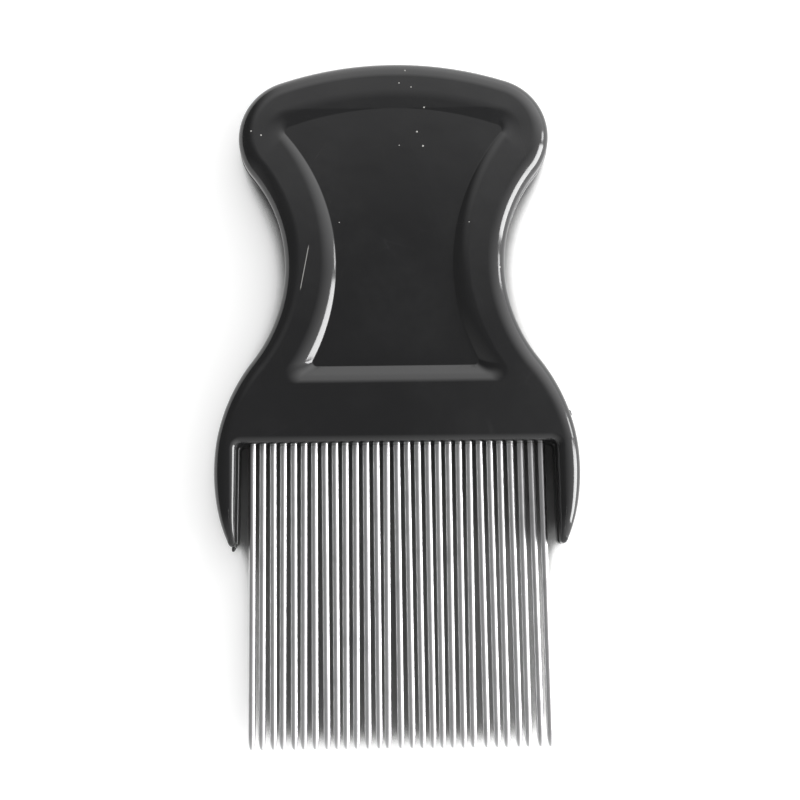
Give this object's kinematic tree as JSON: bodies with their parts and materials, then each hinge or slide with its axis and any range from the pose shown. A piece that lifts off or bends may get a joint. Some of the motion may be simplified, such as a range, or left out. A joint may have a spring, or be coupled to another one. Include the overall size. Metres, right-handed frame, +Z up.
{
  "type": "pet comb",
  "caption": "Flat pet comb: a waisted glossy black plastic handle with a thumb recess in each face and two guard ears, moulded round a single row of straight round steel pins.",
  "frame": {"origin": "under the middle of the whole comb's box, on the plane of the back face that it lies on", "axes": "+Z up through the thickness, out of the front face; +Y from the pin tips towards the grip's end; +X along the row of pins, to the right seen from the front"},
  "size_m": [0.0542, 0.1034, 0.008],
  "materials": {
    "handle_plastic": "high gloss, near black",
    "pin_steel": "polished stainless wire"
  },
  "bodies": {
    "root": {"handle": "handle_plastic", "pin_01": "pin_steel", "pin_02": "pin_steel", "pin_03": "pin_steel", "pin_04": "pin_steel", "pin_05": "pin_steel", "pin_06": "pin_steel", "pin_07": "pin_steel", "pin_08": "pin_steel", "pin_09": "pin_steel", "pin_10": "pin_steel", "pin_11": "pin_steel", "pin_12": "pin_steel", "pin_13": "pin_steel", "pin_14": "pin_steel", "pin_15": "pin_steel", "pin_16": "pin_steel", "pin_17": "pin_steel", "pin_18": "pin_steel", "pin_19": "pin_steel", "pin_20": "pin_steel", "pin_21": "pin_steel", "pin_22": "pin_steel", "pin_23": "pin_steel", "pin_24": "pin_steel", "pin_25": "pin_steel", "pin_26": "pin_steel", "pin_27": "pin_steel", "pin_28": "pin_steel", "pin_29": "pin_steel"}
  },
  "joints": []
}
